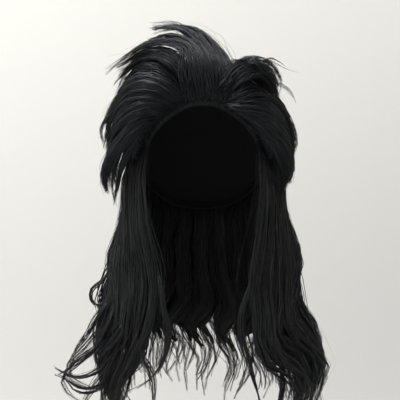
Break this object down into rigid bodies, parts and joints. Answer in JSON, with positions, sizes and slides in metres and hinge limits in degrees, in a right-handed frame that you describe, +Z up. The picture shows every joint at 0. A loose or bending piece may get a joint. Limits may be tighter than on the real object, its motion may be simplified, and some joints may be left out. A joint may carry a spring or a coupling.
{
  "type": "mullet wig",
  "caption": "Mullet wig of black synthetic hair on a stretch cap, with teased tufts on top, swept sides and long wavy lengths at the sides and back.",
  "frame": {"origin": "the point inside the cap that rests on the crown of the head", "axes": "+Z up, the face looks along -Y, and the wearer's left is +X"},
  "size_m": [0.3042, 0.2131, 0.4623],
  "materials": {
    "hair": "jet black synthetic fibre with a soft cool sheen",
    "cap_net": "matt black stretch net with sewn rows",
    "edge_binding": "matt black elastic binding"
  },
  "bodies": {
    "root": {"cap": "cap_net", "edge_band": "edge_binding", "crest_tuft": "hair", "left_sweep": "hair", "right_sweep": "hair", "left_crown_tuft": "hair", "right_crown_tuft": "hair", "crown_layer": "hair", "left_fall": "hair", "right_fall": "hair", "back_fall": "hair"}
  },
  "joints": []
}
